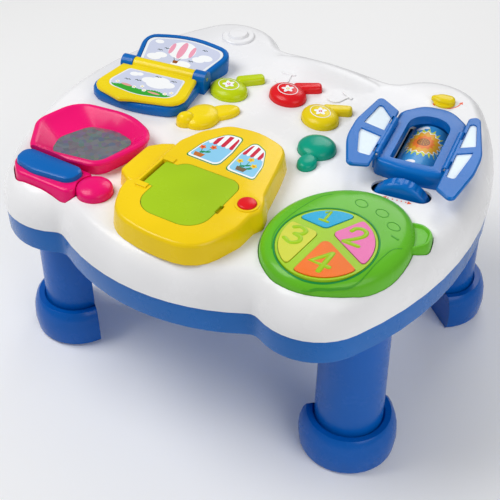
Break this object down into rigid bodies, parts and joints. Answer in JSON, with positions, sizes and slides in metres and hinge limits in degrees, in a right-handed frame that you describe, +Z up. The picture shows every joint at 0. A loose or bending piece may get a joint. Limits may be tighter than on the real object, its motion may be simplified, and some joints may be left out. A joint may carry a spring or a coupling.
{
  "type": "musical activity table",
  "caption": "Lobed four-legged play table with a house door, number pad, mirror tub, turning book page, shuttered picture drum and domed press keys.",
  "frame": {"origin": "on the floor, under the middle of the table top", "axes": "+X across the front edge to the right as a child sees it, +Y to the back edge, +Z up"},
  "size_m": [0.4442, 0.4, 0.2612],
  "materials": {
    "shell_white": "smooth",
    "shell_blue": "smooth",
    "leg_blue": "smooth",
    "house_yellow": "smooth",
    "door_lime": "smooth",
    "pin_steel": "bright",
    "button_red": "smooth",
    "label_paper": "printed film",
    "pad_green": "smooth",
    "disc_lime": "smooth",
    "key_blue": "smooth",
    "key_pink": "smooth",
    "key_olive": "smooth",
    "key_orange": "smooth",
    "board_green": "matt",
    "tub_pink": "smooth",
    "mirror_foil": "mirror film",
    "page_yellow": "smooth",
    "printed_card": "printed film",
    "window_blue": "smooth",
    "pane_pale": "smooth",
    "drum_print": "printed film",
    "note_green": "smooth",
    "key_teal": "smooth",
    "pad_rubber": "matt",
    "speaker_black": "matt",
    "battery_sleeve": "printed film",
    "contact_brass": "plain"
  },
  "bodies": {
    "table": {"top_shell": "shell_white", "bottom_shell": "shell_blue", "leg_front_left": "leg_blue", "leg_front_right": "leg_blue", "leg_back_left": "leg_blue", "leg_back_right": "leg_blue", "house_pod": "house_yellow", "door_pin": "pin_steel", "house_labels": "label_paper", "pad_pod": "pad_green", "pad_disc": "disc_lime", "pad_board": "board_green", "tub_pod": "tub_pink", "tub_mirror": "mirror_foil", "book_base": "shell_blue", "book_pin": "pin_steel", "back_card": "printed_card", "window_frame": "window_blue", "shutter_pins": "pin_steel", "drum_axle": "pin_steel", "circuit_board": "board_green", "switch_pads": "pad_rubber", "speaker": "speaker_black", "battery_door": "shell_blue", "batteries": "battery_sleeve", "battery_contacts": "contact_brass", "case_screws": "pin_steel", "board_screws": "pin_steel"},
    "door": {"door_flap": "door_lime"},
    "page": {"book_page": "page_yellow", "page_card": "printed_card"},
    "left_shutter": {"shutter_left": "window_blue", "panes_left": "pane_pale"},
    "right_shutter": {"shutter_right": "window_blue", "panes_right": "pane_pale"},
    "drum": {"picture_drum": "drum_print", "roller": "window_blue"},
    "knob": {"turn_knob": "page_yellow"},
    "red_push": {"red_button": "button_red"},
    "bar_push": {"press_bar": "shell_blue"},
    "dome_push": {"dome_button": "tub_pink"},
    "push_one": {"key_one": "key_blue"},
    "push_two": {"key_two": "key_pink"},
    "push_three": {"key_three": "key_olive"},
    "push_four": {"key_four": "key_orange"},
    "green_note": {"note_key_green": "note_green"},
    "red_note": {"note_key_red": "button_red"},
    "yellow_note": {"note_key_yellow": "page_yellow"},
    "spoon": {"spoon_key": "page_yellow"},
    "teal": {"teal_key": "key_teal"},
    "switch": {"power_switch": "speaker_black"}
  },
  "joints": [
    {"name": "door_swing", "type": "hinge", "parent": "table", "child": "door", "pos_m": [-0.0345, -0.113, 0.2511], "axis": [0, -1, 0], "range_deg": [0, 110]},
    {"name": "page_turn", "type": "hinge", "parent": "table", "child": "page", "pos_m": [-0.12939, 0.0419, 0.247], "axis": [-0.9903, -0.1392, 0], "range_deg": [0, 168]},
    {"name": "left_shutter_swing", "type": "hinge", "parent": "table", "child": "left_shutter", "pos_m": [0.11384, 0.0434, 0.2526], "axis": [-0.1461, 0.9893, 0], "range_deg": [0, 168]},
    {"name": "right_shutter_swing", "type": "hinge", "parent": "table", "child": "right_shutter", "pos_m": [0.17616, 0.0526, 0.2526], "axis": [0.1461, -0.9893, 0], "range_deg": [0, 179]},
    {"name": "drum_turn", "type": "hinge", "parent": "table", "child": "drum", "pos_m": [0.145, 0.048, 0.217], "axis": [-0.1461, 0.9893, 0], "continuous": true},
    {"name": "knob_turn", "type": "hinge", "parent": "table", "child": "knob", "pos_m": [0.127, 0.152, 0.236], "axis": [0, 0, 1], "range_deg": [-30, 30]},
    {"name": "red_press", "type": "slide", "parent": "table", "child": "red_push", "axis": [0, 0, -1], "range_m": [0, 0.002], "stiffness_N_per_m": 300, "springref_m": -0.004},
    {"name": "bar_press", "type": "slide", "parent": "table", "child": "bar_push", "axis": [0, 0, -1], "range_m": [0, 0.003], "stiffness_N_per_m": 300, "springref_m": -0.005},
    {"name": "dome_press", "type": "slide", "parent": "table", "child": "dome_push", "axis": [0, 0, -1], "range_m": [0, 0.0025], "stiffness_N_per_m": 300, "springref_m": -0.004},
    {"name": "press_one", "type": "slide", "parent": "table", "child": "push_one", "axis": [0, 0, -1], "range_m": [0, 0.002], "stiffness_N_per_m": 300, "springref_m": -0.004},
    {"name": "press_two", "type": "slide", "parent": "table", "child": "push_two", "axis": [0, 0, -1], "range_m": [0, 0.002], "stiffness_N_per_m": 300, "springref_m": -0.004},
    {"name": "press_three", "type": "slide", "parent": "table", "child": "push_three", "axis": [0, 0, -1], "range_m": [0, 0.002], "stiffness_N_per_m": 300, "springref_m": -0.004},
    {"name": "press_four", "type": "slide", "parent": "table", "child": "push_four", "axis": [0, 0, -1], "range_m": [0, 0.002], "stiffness_N_per_m": 300, "springref_m": -0.004},
    {"name": "green_note_press", "type": "slide", "parent": "table", "child": "green_note", "axis": [0, 0, -1], "range_m": [0, 0.0025], "stiffness_N_per_m": 300, "springref_m": -0.004},
    {"name": "red_note_press", "type": "slide", "parent": "table", "child": "red_note", "axis": [0, 0, -1], "range_m": [0, 0.0025], "stiffness_N_per_m": 300, "springref_m": -0.004},
    {"name": "yellow_note_press", "type": "slide", "parent": "table", "child": "yellow_note", "axis": [0, 0, -1], "range_m": [0, 0.0025], "stiffness_N_per_m": 300, "springref_m": -0.004},
    {"name": "spoon_press", "type": "slide", "parent": "table", "child": "spoon", "axis": [0, 0, -1], "range_m": [0, 0.0025], "stiffness_N_per_m": 300, "springref_m": -0.004},
    {"name": "teal_press", "type": "slide", "parent": "table", "child": "teal", "axis": [0, 0, -1], "range_m": [0, 0.0025], "stiffness_N_per_m": 300, "springref_m": -0.004},
    {"name": "power_slide", "type": "slide", "parent": "table", "child": "switch", "axis": [1, 0, 0], "range_m": [0, 0.005]}
  ]
}
